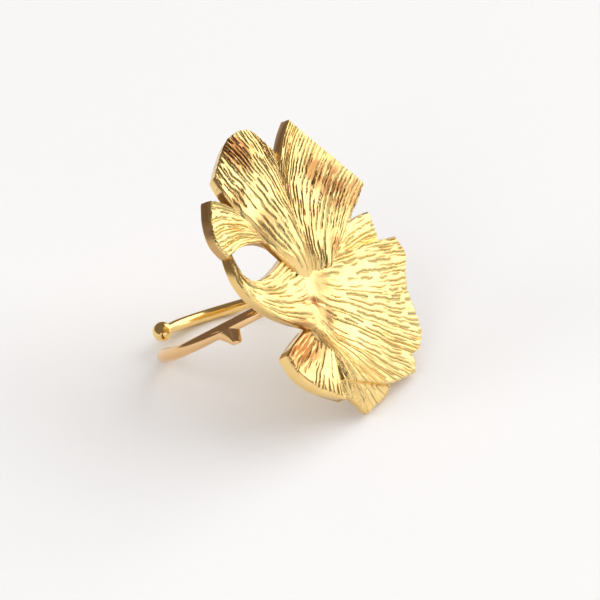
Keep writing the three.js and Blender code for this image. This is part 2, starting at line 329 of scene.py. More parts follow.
# Blotches, polishing waves and the floor's grain, in features per metre. Streaks that break up the
# painted patches, and fine streaks, in features per millimetre across and along the ribs. Heights
# of the fine streaks and of the waves.
RIB_BLOTCHES, SMOOTH_BLOTCHES, WAVES, GRAIN = 260.0, 180.0, 420.0, 900.0
STREAKS, FINE_STREAKS = (3.2, 0.45), (9.0, 1.6)
STREAK_HEIGHT, WAVE_HEIGHT, WAVE_STRENGTH = 0.035 * MM, 0.05 * MM, 0.35

# The blotches and the grain, as shares of the colour, and what is left of a painted patch between its
# streaks.
RIB_TONE, SMOOTH_TONE, FLOOR_TONE = (0.95, 0.88, 0.8), (0.97, 0.92, 0.82), 0.985
STREAK_GAP = 0.2

# Roughness of the polished plating, of its rims darkened by painted shade and of the floor.
POLISHED, SHADED_RIMS, MATT = 0.16, 0.5, 0.9

# -------------------- the camera

# Angles in degrees. The place faced and the width seen there are in millimetres, as the ring
# lies, and the sensor too. The nearest and farthest distance seen are in metres.
AZIMUTH, ELEVATION, ROLL = -0.3, 34.3, 0.4
LOOK_AT = (1.18, -2.13, 10.01)
PICTURE_WIDTH = 58.25
SENSOR = 36.0
NEAREST, FARTHEST = 0.01, 10.0

# -------------------- the light

# White panels that face the ring: place and size in metres, brightness of the panel, and
# whether the metal mirrors it. The others are COOL, which evens out the warm surround. The
# square floor reaches FLOOR_HALF metres each way.
COOL = (0.96, 1.0, 1.03)
MIRRORED, UNMIRRORED = True, False
SOFTBOXES = [
    ("right", (0.66, 0.35, 0.34), (1.1, 1.1), 2.0, MIRRORED),
    ("front", (0.25, -0.85, 0.12), (1.1, 0.35), 0.9, MIRRORED),
    ("overhead", (0.0, 0.1, 0.7), (1.6, 1.6), 0.49, UNMIRRORED),
    ("fill", (-0.5, -0.5, 0.35), (1.0, 0.7), 2.2, UNMIRRORED),
]
FLOOR_HALF = 1.5


# -------------------- settings


def length_setting(name, description, millimetres, least=0.0):
    return FloatProperty(
        name=name, description=description, default=millimetres * MM, min=least * MM,
        unit="LENGTH", precision=5,
    )


def colour_setting(name, description, default):
    return FloatVectorProperty(
        name=name, description=description, default=default, subtype="COLOR", size=3,
        min=0.0, max=1.0,
    )


class LeafSettings(bpy.types.PropertyGroup):
    """Sizes of the ribbed leaves."""

    rib_pitch: length_setting("Rib pitch", "Distance between ribs at the leaf's edge", 0.43, 0.2)
    rib_depth: length_setting("Rib depth", "Depth of the grooves between the ribs", 0.15)
    groove_width: length_setting("Groove width", "Half the width of a groove", 0.09, 0.02)
    wander: length_setting("Rib wander", "How far a rib strays sideways", 0.13)
    edge_radius: length_setting("Edge radius", "Rounding of the leaves' rim", 0.16, 0.02)
    ragged: length_setting("Ragged edge", "How far the leaf's edge strays in and out", 0.07)
    spacing: length_setting(
        "Mesh spacing", "Distance between the mesh's columns at the leaf's edge", 0.058, 0.04,
    )


class BandSettings(bpy.types.PropertyGroup):
    """Sizes of the open wire band."""

    radius: length_setting("Band radius", "Middle of the finger to the middle of the wire", 9.3)
    plain_wire: length_setting("Plain wire", "Diameter of the strand that carries the bud", 1.3)
    ball_wire: length_setting("Ball wire", "Diameter of the strand that ends in a ball", 1.2)
    ball: length_setting("Ball", "Diameter of the ball end", 2.0)
    bud_length: length_setting(
        "Bud length", "Height of the cut twig end above the wire's middle", 1.8,
    )
    bud_end: length_setting("Bud end", "Diameter of the bud's cut face", 1.2)


class FinishSettings(bpy.types.PropertyGroup):
    """Colours of the plating, and of the shade and reflections painted on it."""

    gold: colour_setting("Gold", "Colour of the raised, polished plating", (1.0, 0.74, 0.31))
    # The groove colour is painted shade: it darkens the plating down in the grooves.
    groove: colour_setting(
        "Groove", "Colour of the plating down in the grooves", (0.45, 0.39, 0.16),
    )
    # The patches' colour is painted shade and painted reflection, deeper and redder than the gold.
    painted_shade: colour_setting("Painted_shade", "Colour of the redder patches", (0.38, 0.165, 0.046))
    rosy: colour_setting("Rosy gold", "Colour of the plain strand and the bud", (0.88, 0.58, 0.29))
    # The rim colour is painted shade on the rim walls and on the edge of the backs.
    rim_shade: colour_setting("Rim_shade", "Colour of the darkest rims", (0.5, 0.27, 0.12))
    roughness: FloatProperty(
        name="Roughness", description="Roughness of the ribbed faces", subtype="FACTOR",
        default=0.26, min=0.0, max=1.0,
    )


class StageSettings(bpy.types.PropertyGroup):
    """The floor, the light and the camera."""

    floor: colour_setting(
        "Floor", "Colour of the surface that the ring lies on", (0.93, 0.93, 0.93),
    )
    surround: colour_setting("Surround", "Colour of the light from all round", (1.0, 0.8, 0.7))
    daylight: FloatProperty(
        name="Daylight", description="Strength of the soft light from all round",
        default=0.2, min=0.0,
    )
    distance: FloatProperty(
        name="Camera distance", description="Camera to the middle of the leaves",
        default=0.42, unit="LENGTH",
    )


# -------------------- smooth curves and noise


def smooth_through(points, places):
    """Points on the curve through `points`, at places from 0 to 1 that count rows evenly."""
    points = np.asarray(points, float)
    padded = np.vstack([2 * points[0] - points[1], points, 2 * points[-1] - points[-2]])
    along = np.asarray(places, float) * (len(points) - 1)
    row = np.minimum(along.astype(int), len(points) - 2)
    part = (along - row)[:, None]
    before, start, end, after = (padded[row + step] for step in range(4))
    leave = 0.5 * (end - before)
    arrive = 0.5 * (after - start)
    return (
        start
        + leave * part
        + (3 * (end - start) - 2 * leave - arrive) * part**2
        + (2 * (start - end) + leave + arrive) * part**3
    )


def curve_length(points):
    return float(np.linalg.norm(np.diff(points, axis=0), axis=1).sum())


def smoothstep(low, high, value):
    part = np.clip((value - low) / (high - low), 0.0, 1.0)
    return part * part * (3 - 2 * part)


def soft_noise(x, y, seed):
    """Smooth repeatable noise from -1 to 1, with features one unit wide."""
    table = np.random.default_rng(seed).uniform(-1, 1, (NOISE_TABLE, NOISE_TABLE))
    x, y = np.broadcast_arrays(np.asarray(x, float), np.asarray(y, float))
    column, row = np.floor(x).astype(int), np.floor(y).astype(int)
    right, up = smoothstep(0, 1, x - column), smoothstep(0, 1, y - row)

    def corner(dx, dy):
        return table[(column + dx) % NOISE_TABLE, (row + dy) % NOISE_TABLE]

    low = corner(0, 0) * (1 - right) + corner(1, 0) * right
    high = corner(0, 1) * (1 - right) + corner(1, 1) * right
    return low * (1 - up) + high * up


def layered_noise(layers, across, along, seed):
    """The weighted sum of the layers."""
    return sum(
        weight * soft_noise(across * fine_across, along * fine_along, seed + extra)
        for fine_across, fine_along, weight, extra in layers
    )


# -------------------- one lobe


def lobe_columns(lobe, spacing):
    """The lobe's roots, halfway places and tips, one per mesh column, and where each lies
    across the lobe's widest part."""
    ribs = lobe["ribs"]
    shares = np.linspace(0, 1, len(ribs))[:, None]
    root_from, root_to = (np.array(end, float) for end in lobe["roots"])
    roots = root_from + (root_to - root_from) * shares
    halves = np.array([rib[1] for rib in ribs], float)
    tips = np.array([rib[2] for rib in ribs], float)
    last_rib = len(ribs) - 1
    corners = [number for number in range(1, last_rib) if ribs[number][3] is CORNER]
    breaks = [0, *corners, last_rib]
    parts = []
    across = 0.0
    for first, last in zip(breaks, breaks[1:]):
        run = slice(first, last + 1)
        fine = np.linspace(0, 1, MEASURING_POINTS)
        width = max(curve_length(smooth_through(rows[run], fine)) for rows in (roots, halves, tips))
        count = max(FEWEST_COLUMNS, math.ceil(width / spacing))
        places = np.linspace(0, 1, count + 1)[(0 if first == 0 else 1):]
        parts.append((
            smooth_through(roots[run], places),
            smooth_through(halves[run], places),
            smooth_through(tips[run], places),
            across + width * places,
        ))
        across += width
    return [np.concatenate(columns) for columns in zip(*parts)]


def rib_grooves(across, travel, spread, broken, seed, leaf):
    """Depth of the grooves between the ribs, from 0 on a crest to 1."""
    pitch, width = leaf.rib_pitch / MM, leaf.groove_width / MM
    level = np.clip(-np.log2(np.maximum(spread, NARROWEST)), 0, MOST_HALVINGS)
    whole = np.floor(level).astype(int)
    blend = smoothstep(*FORKING, level - whole)
    wander = leaf.wander / MM * layered_noise(WANDER, across, travel, seed)
    place = (across + wander / np.maximum(spread, LEAST_SPREAD)) / pitch
    draws = np.random.default_rng(seed + DRAW_SEED).uniform(-1, 1, (2, GROOVE_DRAWS))
    layers = []
    for extra in (0, 1):
        step = 2 ** (whole + extra)
        deepest = np.zeros_like(place)
        for beside in (-1, 0, 1):
            groove = ((np.round(place / step) + beside) * step).astype(int)
            shift, size = draws[:, groove % GROOVE_DRAWS]
            aside = (place - groove - SHIFT_SPREAD * shift) * pitch * spread
            away = aside / (width * (1 + WIDTH_SPREAD * size))
            fill = soft_noise(
                groove * NEXT_GROOVE[0], travel * BREAKS + groove * NEXT_GROOVE[1], seed + FILL_SEED,
            )
            strength = smoothstep(broken - FILLED, broken - OPEN, fill)
            depth = strength * (1 + DEPTH_SPREAD * size) * np.exp(-away * away)
            deepest = np.maximum(deepest, depth)
        layers.append(deepest)
    return np.minimum(layers[0] * (1 - blend) + layers[1] * blend, 1.0)


def hollow_depth(places, hollows):
    """How deep the dents are at the places, which are points as worn."""
    total = np.zeros(places.shape[:-1])
    for _, depth, reach, bottom in hollows:
        line = np.array(bottom, float)
        nearest = np.full(total.shape, np.inf)
        for start, end in zip(line, line[1:]):
            run = end - start
            share = np.clip(((places[..., :2] - start) @ run) / (run @ run), 0, 1)
            away = np.linalg.norm(places[..., :2] - start - share[..., None] * run, axis=-1)
            nearest = np.minimum(nearest, away)
        total += depth * np.exp(-((nearest / reach) ** 2))
    return total


def painted_shade_strength(places):
    """How strong the painted shade and reflection of the patches is at the places, which are points
    as worn.
    """
    total = np.zeros(places.shape[:-1])
    for _, middle, reach, strength in PAINTED_SHADE_PATCHES:
        away = np.linalg.norm(places[..., :2] - np.array(middle), axis=-1) / reach
        total = np.maximum(total, strength * (1 - smoothstep(*PAINTED_SHADE_FADE, away)))
    return total


def rounding(distance, radius):
    """How far a rounded rim has sunk at a distance from its edge."""
    inward = np.minimum(distance, radius)
    return radius - np.sqrt(np.maximum(radius**2 - (radius - inward) ** 2, 0))


def side_drop(distance, share, width, joined, radius):
    """How far a side sinks: rounded where it is free, and tucked under its neighbour up to the
    share of its length where the two are joined."""
    free = smoothstep(joined - JOIN_BLEND, joined + JOIN_BLEND, share) if joined else 1.0
    tucked = TUCK_DEPTH * np.minimum(width / TUCK_FULL, 1) * (1 - smoothstep(0, TUCK_WIDTH, distance))
    return rounding(distance, radius) * free + tucked * (1 - free)


def bent_sheet(roots, halves, tips, shares):
    """Points at the shares of the curves through each root, halfway place and tip."""
    bends = 2 * halves - 0.5 * (roots + tips)
    share = shares[None, :, None]
    return (
        roots[:, None] * (1 - share) ** 2
        + bends[:, None] * 2 * share * (1 - share)
        + tips[:, None] * share**2
    )


def grid_faces(index):
    """Quads of a grid of point numbers."""
    corners = [index[:-1, :-1], index[:-1, 1:], index[1:, 1:], index[1:, :-1]]
    return np.stack([corner.ravel() for corner in corners], axis=1)


def border(index):
    """The point numbers once round a grid."""
    return np.concatenate([index[0, :-1], index[:-1, -1], index[-1, :0:-1], index[:0:-1, 0]])


def every(step, count):
    """Every step-th number below the count, and the last one."""
    return np.unique(np.append(np.arange(0, count, step), count - 1))


def wall_faces(loop, below, coarse, behind):
    """Walls from the face's border to the row below it, and on to the coarser back."""
    walls = np.stack([loop, below, np.roll(below, -1), np.roll(loop, -1)], axis=1).tolist()
    places = {int(corner): place for place, corner in enumerate(loop)}
    for step in range(len(coarse)):
        after = (step + 1) % len(coarse)
        start, end = places[int(coarse[step])], places[int(coarse[after])]
        run = range(start, (end if end > start else end + len(loop)) + 1)
        walls.append([
            *[int(below[place % len(loop)]) for place in reversed(run)],
            int(behind[step]), int(behind[after]),
        ])
    return walls


def lobe_mesh(lobe, hollows, seed, leaf):
    """Vertices in millimetres, faces, which faces are ribbed, and each vertex's marks: groove
    depth, strength of the painted shade and reflection, and place across and along the ribs."""
    radius = leaf.edge_radius / MM
    roots, halves, tips, across = lobe_columns(lobe, leaf.spacing / MM)
    lengths = np.linalg.norm(halves - roots, axis=1) + np.linalg.norm(tips - halves, axis=1)
    inner = np.linspace(0, 1, round(float(lengths.max()) / STATION))
    shares = np.concatenate([inner[inner < EDGE_START], 1 - EDGE_BAND * np.array(EDGE_ROWS)])
    surface = bent_sheet(roots, halves, tips, shares)
    facing = np.array(lobe["facing"], float)
    facing /= np.linalg.norm(facing)

    gaps = np.linalg.norm(np.diff(surface, axis=0), axis=2)
    from_first = np.vstack([np.zeros(len(shares)), np.cumsum(gaps, axis=0)])
    from_last = from_first[-1] - from_first
    spread = (from_first[-1] / across[-1])[None, :] * np.ones_like(from_first)
    travel = shares[None, :] * lengths[:, None]
    to_tip = lengths[:, None] - travel

    drop = rounding(to_tip, radius)
    width = from_first[-1][None, :]
    for distance, joined in zip((from_first, from_last), lobe["joined"]):
        drop = np.maximum(drop, side_drop(distance, shares[None, :], width, joined, radius))
    drop = drop + lobe["sunk"] * (1 - smoothstep(0, ROOT_SHARE, shares))[None, :]
    drop = drop + hollow_depth(surface, hollows)

    grooves = lobe["cut"] * rib_grooves(across[:, None], travel, spread, lobe["broken"], seed, leaf)
    before_edge = -1 - len(EDGE_ROWS)
    ragged = leaf.ragged / MM * (
        layered_noise(RAGGED, across, seed, seed) - NOTCH * grooves[:, before_edge]
    )
    outward = (tips - halves) / np.linalg.norm(tips - halves, axis=1)[:, None]
    nibble = ragged[:, None] * (1 - smoothstep(0, RAGGED_REACH, to_tip))
    face = surface + outward[:, None] * nibble[:, :, None]
    fade = smoothstep(lobe["smooth"] * RIB_START, lobe["smooth"], shares)[None, :]
    left = END_DEPTH + (1 - END_DEPTH) * smoothstep(0.0, GROOVE_END, to_tip)
    wave = layered_noise(WAVE, across[:, None], travel, seed)
    lift = (leaf.rib_depth / MM * (CREST - grooves) * left + wave) * fade - drop
    front = face + facing * lift[:, :, None]
    back = surface - facing * np.maximum(lobe["thickness"] - drop, THINNEST)[:, :, None]

    columns, rows = len(across), len(shares)
    index = np.arange(columns * rows).reshape(columns, rows)
    front_faces = grid_faces(index)
    some_columns, some_rows = every(BACK_STEP, columns), every(BACK_STEP, rows)
    back_points = back[np.ix_(some_columns, some_rows)].reshape(-1, 3)
    total = columns * rows
    back_index = total + np.arange(len(back_points)).reshape(len(some_columns), len(some_rows))
    back_faces = grid_faces(back_index)[:, ::-1]

    loop = border(index)
    rim = surface.reshape(-1, 3)[loop] - facing * (drop.ravel()[loop, None] + WALL_TOP)
    below = total + len(back_points) + np.arange(len(loop))
    coarse = border(index[np.ix_(some_columns, some_rows)])
    walls = wall_faces(loop, below, coarse, border(back_index))
    points = np.concatenate([front.reshape(-1, 3), back_points, rim])
    faces = [*front_faces.tolist(), *back_faces.tolist(), *walls]
    ribbed = np.zeros(len(faces), dtype=int)
    ribbed[len(front_faces):] = 1
    marks = np.stack(np.broadcast_arrays(
        grooves * fade, painted_shade_strength(surface), across[:, None] * spread**0.5, travel,
    ), axis=-1).reshape(-1, 4)
    rim_marks = np.zeros((len(points) - total, 4))
    # The rim walls and the edge of the back take the lobe's painted shade.
    rim_marks[:, 1] = lobe["rim_shading"]
    inside_back = back_index[1:-1, 1:-1].ravel() - total
    rim_marks[inside_back, 1] = 0
    return points, faces, ribbed, np.concatenate([marks, rim_marks])


# -------------------- meshes


def rest_matrix():
    turn = Euler([math.radians(angle) for angle in REST_TURN], "ZYX").to_matrix().to_4x4()
    return Matrix.Translation(Vector(FINGER_MIDDLE) * MM) @ turn @ Matrix.Scale(MM, 4)


def add_object(name, data):
    thing = bpy.data.objects.new(name, data)
    bpy.context.scene.collection.objects.link(thing)
    return thing


def new_piece(name, points, faces, materials, indices):
    """A mesh object from points as worn, in millimetres, laid as the ring lies."""
    mesh = bpy.data.meshes.new(name)
    mesh.from_pydata([tuple(point) for point in points], [], [tuple(face) for face in faces])
    for material in materials:
        mesh.materials.append(material)
    mesh.polygons.foreach_set("material_index", [int(index) for index in indices])
    mesh.transform(rest_matrix())
    mesh.shade_smooth()
    mesh.update()
    return add_object(name, mesh)


def join_solids(pieces, name):
    """Fuses closed pieces into one solid."""
    whole = pieces[0]
    whole.name = name
    for piece in pieces[1:]:
        union = whole.modifiers.new("join", "BOOLEAN")
        union.operation = "UNION"
        union.solver = "MANIFOLD"
        union.object = piece
    graph = bpy.context.evaluated_depsgraph_get()
    mesh = bpy.data.meshes.new_from_object(whole.evaluated_get(graph))
    whole.modifiers.clear()
    whole.data = mesh
    mesh.name = name
    for piece in pieces[1:]:
        bpy.data.objects.remove(piece)
    mesh.shade_smooth()
    mesh.set_sharp_from_angle(angle=math.radians(SHARP_ANGLE))
    return whole


def mesh_points(mesh):
    points = np.empty(len(mesh.vertices) * 3)
    mesh.vertices.foreach_get("co", points)
    return points.reshape(-1, 3)


def point_tree(points):
    tree = KDTree(len(points))
    for number, point in enumerate(points):
        tree.insert(point, number)
    tree.balance()
    return tree


def write_marks(mesh, marks):
    """Stores the marks for the materials: groove depth, painted shade strength and place along the
    ribs.
    """
    for number, name in enumerate(("groove", "painted_shade")):
        attribute = mesh.attributes.new(name, "FLOAT", "POINT")
        attribute.data.foreach_set("value", np.ascontiguousarray(marks[:, number]))
    attribute = mesh.attributes.new("rib_place", "FLOAT_VECTOR", "POINT")
    place = np.stack([marks[:, 2], marks[:, 3], marks[:, 3] * 0], axis=1)
    attribute.data.foreach_set("vector", place.ravel())


def soften_folds(mesh, tree, reach):
    """Smooths the mesh near the lines where the fused solids meet. Those lines' points are the
    ones that none of the solids had."""
    points = mesh_points(mesh)
    fresh = [number for number, point in enumerate(points) if tree.find(point)[2] > SAME_POINT]
    near = point_tree(points[fresh])
    away = np.array([near.find(point)[2] for point in points])
    weight = (1 - smoothstep(FOLD_CORE * reach, reach, away))[:, None]
    edges = np.empty(len(mesh.edges) * 2, dtype=int)
    mesh.edges.foreach_get("vertices", edges)
    first, second = edges.reshape(-1, 2).T
    count = np.bincount(edges, minlength=len(points))[:, None]
    for _ in range(FOLD_STEPS):
        total = np.zeros_like(points)
        np.add.at(total, first, points[second])
        np.add.at(total, second, points[first])
        points += FOLD_PULL * weight * (total / count - points)
    mesh.vertices.foreach_set("co", points.ravel())
    mesh.update()


def declare(piece):
    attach(piece, BODY)
    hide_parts(NODE)


# -------------------- the wires


def tube_faces(count, sides):
    """Faces of a tube of `count` rings, closed by one point at its start and one at its end."""
    faces = []
    for row in range(count - 1):
        for side in range(sides):
            beside = (side + 1) % sides
            faces.append((
                row * sides + side, row * sides + beside,
                (row + 1) * sides + beside, (row + 1) * sides + side,
            ))
    start, end = count * sides, count * sides + 1
    last = (count - 1) * sides
    for side in range(sides):
        beside = (side + 1) % sides
        faces.append((start, beside, side))
        faces.append((end, last + side, last + beside))
    return faces


def swept_tube(centres, radii):
    """A closed tube along the centre line, pinched to a point at both ends."""
    centres = np.asarray(centres, float)
    tangents = np.gradient(centres, axis=0)
    tangents /= np.linalg.norm(tangents, axis=1, keepdims=True)
    across = np.cross(tangents, np.array([0.0, 1.0, 0.0]))
    across /= np.linalg.norm(across, axis=1, keepdims=True)
    upward = np.cross(tangents, across)
    turn = np.linspace(0, 2 * np.pi, WIRE_SIDES, endpoint=False)
    ring = (
        across[:, None] * np.cos(turn)[None, :, None] + upward[:, None] * np.sin(turn)[None, :, None]
    )
    body = centres[:, None] + ring * np.asarray(radii)[:, None, None]
    points = np.concatenate([body.reshape(-1, 3), centres[:1], centres[-1:]])
    return points, tube_faces(len(centres), WIRE_SIDES)


def strand_point(strand, angle, band):
    """The strand's centre line, in millimetres as worn."""
    radius = band.radius / MM
    turn = np.radians(angle)
    apart = smoothstep(strand["parts"], strand["parted"], angle)
    return np.stack([
        strand["side"] * radius * np.sin(turn),
        strand["shift"] * apart,
        radius * np.cos(turn),
    ], axis=-1)


def strand_line(strand, wire, ball, band):
    """Centre line and radius of a strand, with a round end or a ball at the palm."""
    start, end = strand["start"], strand["end"]
    degrees = math.degrees(1 / (band.radius / MM))
    reach = max(wire, ball) / 2 * degrees
    cap = np.sin(np.linspace(-np.pi / 2, 0, START_ROWS)[:-1]) + 1
    body = np.linspace(start, end - 2 * reach, LENGTH_ROWS)
    last = end + reach * np.sin(np.linspace(-np.pi / 2, np.pi / 2, END_ROWS))
    angles = np.concatenate([start - wire / 2 * degrees * (1 - cap), body, last[1:]])
    from_start = (angles - (start - wire / 2 * degrees)) / degrees
    inward = np.maximum(wire / 2 - from_start, 0)
    radii = np.sqrt(np.maximum((wire / 2) ** 2 - inward**2, LEAST_SQUARE))
    beyond = (angles - end) / degrees
    half = max(wire, ball) / 2
    bulb = np.sqrt(np.maximum(half**2 - np.minimum(np.abs(beyond), half) ** 2, LEAST_SQUARE))
    if ball:
        radii = np.maximum(radii, bulb)
    else:
        radii = radii * (1 - END_TAPER * smoothstep(end - TAPER_ANGLE, end, angles))
        bulb = bulb * (1 - END_TAPER)
    radii = np.where(beyond > 0, bulb, radii)
    return strand_point(strand, angles, band), radii


def bud_mesh(band):
    """The cut twig end: a short stub whose foot spreads into the wire."""
    foot = strand_point(PLAIN_STRAND, BUD["angle"], band)
    toward = strand_point(PLAIN_STRAND, BUD["angle"] - 1, band) - foot
    toward[1] = 0
    toward /= np.linalg.norm(toward)
    lean = math.radians(BUD["lean"])
    axis = np.array([0.0, -math.cos(lean), 0.0]) + toward * math.sin(lean)
    side = np.cross(axis, toward)
    side /= np.linalg.norm(side)
    length, end = band.bud_length / MM, band.bud_end / MM / 2
    wire = band.plain_wire / MM / 2
    turn = np.linspace(0, 2 * np.pi, WIRE_SIDES, endpoint=False)
    rings = []
    for share in np.concatenate([np.linspace(0, BUD_LIP["start"], FOOT_ROWS), BUD_ROWS]):
        spread = (1 - min(share, BUD_FOOT["share"]) / BUD_FOOT["share"]) ** BUD_FOOT["curve"]
        past = max(0.0, (share - BUD_LIP["start"]) / BUD_LIP["share"])
        lip = end * math.sqrt(1 - BUD_LIP["turn"] * past**3)
        back = lip + spread * BUD_FOOT["back"]
        ahead = lip + spread * BUD_FOOT["ahead"]
        along = np.where(np.cos(turn) < 0, back, ahead) * np.cos(turn)
        beside = (lip + spread * (wire - end)) * np.sin(turn)
        rings.append(
            foot + axis * length * share + toward * along[:, None] + side * beside[:, None]
        )
    points = np.concatenate([*rings, [rings[0].mean(axis=0)], [rings[-1].mean(axis=0)]])
    faces = tube_faces(len(rings), WIRE_SIDES)
    return points, [(first, *others[::-1]) for first, *others in faces]


# -------------------- materials


def node_material(name):
    material = bpy.data.materials.get(name) or bpy.data.materials.new(name)
    material.use_nodes = True
    tree = material.node_tree
    tree.nodes.clear()
    output = tree.nodes.new("ShaderNodeOutputMaterial")
    shader = tree.nodes.new("ShaderNodeBsdfPrincipled")
    tree.links.new(shader.outputs["BSDF"], output.inputs["Surface"])
    return material, tree, shader


def set_inputs(node, values):
    for name, value in values.items():
        node.inputs[name].default_value = value


def opaque(colour, shade=1.0):
    return (*[channel * shade for channel in colour], 1)


def grey(level):
    return (level, level, level, 1)


def noise_output(tree, place, values):
    noise = tree.nodes.new("ShaderNodeTexNoise")
    set_inputs(noise, values)
    tree.links.new(place, noise.inputs["Vector"])
    return noise.outputs["Fac"]


def noise_node(tree, scale, detail=4.0):
    place = tree.nodes.new("ShaderNodeTexCoord").outputs["Object"]
    return noise_output(tree, place, {"Scale": scale, "Detail": detail, "Roughness": 0.55})


def ramp_node(tree, value, stops):
    """stops: pairs of place and colour."""
    ramp = tree.nodes.new("ShaderNodeValToRGB")
    elements = ramp.color_ramp.elements
    for element, (place, colour) in zip(elements, stops):
        element.position = place
        element.color = colour
    for place, colour in stops[2:]:
        elements.new(place).color = colour
    tree.links.new(value, ramp.inputs["Fac"])
    return ramp.outputs["Color"]


def add_bump(tree, shader, height, distance, strength):
    bump = tree.nodes.new("ShaderNodeBump")
    set_inputs(bump, {"Distance": distance, "Strength": strength})
    tree.links.new(height, bump.inputs["Height"])
    tree.links.new(bump.outputs["Normal"], shader.inputs["Normal"])


def attribute_node(tree, name, output="Fac"):
    attribute = tree.nodes.new("ShaderNodeAttribute")
    attribute.attribute_name = name
    return attribute.outputs[output]


def mix_node(tree, kind, factor, first, second):
    """Mixes two colours. The factor is a number or an output."""
    mix = tree.nodes.new("ShaderNodeMix")
    mix.data_type = "RGBA"
    mix.blend_type = kind
    if isinstance(factor, float):
        mix.inputs["Factor"].default_value = factor
    else:
        tree.links.new(factor, mix.inputs["Factor"])
    tree.links.new(first, mix.inputs["A"])
    tree.links.new(second, mix.inputs["B"])
    return mix.outputs["Result"]


def streak_noise(tree, features):
    """Noise drawn out along the ribs: features per millimetre across and along."""
    stretch = tree.nodes.new("ShaderNodeMapping")
    stretch.inputs["Scale"].default_value = (*features, 1.0)
    tree.links.new(attribute_node(tree, "rib_place", "Vector"), stretch.inputs["Vector"])
    return noise_output(tree, stretch.outputs["Vector"], {"Scale": 1.0, "Detail": 3.0})


def ribbed_gold(finish):
    """Bright crests, grooves darkened by painted shade and redder patches of painted shade and
    reflection, with fine streaks along the ribs.
    """
    material, tree, shader = node_material("ribbed_gold")
    # Painted shade: the colour darkens from the gold to the groove colour with the groove's depth.
    crest = ramp_node(tree, attribute_node(tree, "groove"), [
        (TONE_FROM, opaque(finish.gold)),
        (TONE_TO, opaque(finish.groove)),
    ])
    streaks = ramp_node(tree, streak_noise(tree, STREAKS), [(0.34, grey(STREAK_GAP)), (0.5, grey(1))])
    patch = tree.nodes.new("ShaderNodeMath")
    patch.operation = "MULTIPLY"
    tree.links.new(attribute_node(tree, "painted_shade"), patch.inputs[0])
    tree.links.new(streaks, patch.inputs[1])
    deeper = ramp_node(tree, attribute_node(tree, "groove"), [
        (TONE_FROM, opaque(finish.painted_shade)),
        (TONE_TO, opaque(finish.painted_shade, DEEP_SHADE)),
    ])
    # The patches of painted shade and reflection, broken into streaks, cover the crests and the
    # grooves.
    colour = mix_node(tree, "MIX", patch.outputs["Value"], crest, deeper)
    blotch = ramp_node(tree, noise_node(tree, RIB_BLOTCHES), [
        (0.35, opaque(RIB_TONE)),
        (0.6, grey(1)),
    ])
    colour = mix_node(tree, "MULTIPLY", 1.0, colour, blotch)
    tree.links.new(colour, shader.inputs["Base Color"])
    add_bump(tree, shader, streak_noise(tree, FINE_STREAKS), STREAK_HEIGHT, 1.0)
    set_inputs(shader, {"Metallic": 1.0, "Roughness": finish.roughness})
    return material


def polished_gold(name, finish, gold):
    """The smooth rims, backs and wires, with a faint waviness from the polishing."""
    material, tree, shader = node_material(name)
    warm = ramp_node(tree, noise_node(tree, SMOOTH_BLOTCHES), [
        (0.35, opaque([channel * shade for channel, shade in zip(gold, SMOOTH_TONE)])),
        (0.65, opaque(gold)),
    ])
    # Painted shade: the rims and the edge of the backs darken towards the rim shade colour by this
    # mark.
    rim_shade = attribute_node(tree, "painted_shade")
    tone = tree.nodes.new("ShaderNodeRGB")
    tone.outputs["Color"].default_value = opaque(finish.rim_shade)
    colour = mix_node(tree, "MIX", rim_shade, warm, tone.outputs["Color"])
    tree.links.new(colour, shader.inputs["Base Color"])
    dull = ramp_node(tree, rim_shade, [(0.0, grey(POLISHED)), (1.0, grey(SHADED_RIMS))])
    tree.links.new(dull, shader.inputs["Roughness"])
    add_bump(tree, shader, noise_node(tree, WAVES, 2.0), WAVE_HEIGHT, WAVE_STRENGTH)
    set_inputs(shader, {"Metallic": 1.0})
    return material


def floor_finish(stage):
    material, tree, shader = node_material("pale_floor")
    colours = ramp_node(tree, noise_node(tree, GRAIN, 3.0), [
        (0.0, opaque(stage.floor, FLOOR_TONE)),
        (1.0, opaque(stage.floor)),
    ])
    tree.links.new(colours, shader.inputs["Base Color"])
    set_inputs(shader, {"Roughness": MATT})
    return material


# -------------------- the stage


def add_floor(stage):
    mesh = bpy.data.meshes.new("floor")
    half = FLOOR_HALF
    corners = [(-half, -half, 0), (half, -half, 0), (half, half, 0), (-half, half, 0)]
    mesh.from_pydata(corners, [], [(0, 1, 2, 3)])
    mesh.materials.append(floor_finish(stage))
    floor = add_object("floor", mesh)


def add_light(stage):
    world = bpy.data.worlds.get("soft_studio") or bpy.data.worlds.new("soft_studio")
    bpy.context.scene.world = world
    world.use_nodes = True
    background = world.node_tree.nodes["Background"]
    set_inputs(background, {"Color": opaque(stage.surround), "Strength": stage.daylight})
    for name, place, size, brightness, mirrored in SOFTBOXES:
        width, height = size
        data = bpy.data.lights.new(name, "AREA")
        data.shape = "RECTANGLE"
        data.size, data.size_y = width, height
        data.energy = brightness * math.pi * width * height
        light = add_object(name, data)
        light.location = place
        light.rotation_euler = (-Vector(place)).to_track_quat("-Z", "Y").to_euler()
        light.visible_glossy = mirrored
        if not mirrored:
            data.color = COOL
    bpy.context.scene.view_settings.view_transform = "Standard"


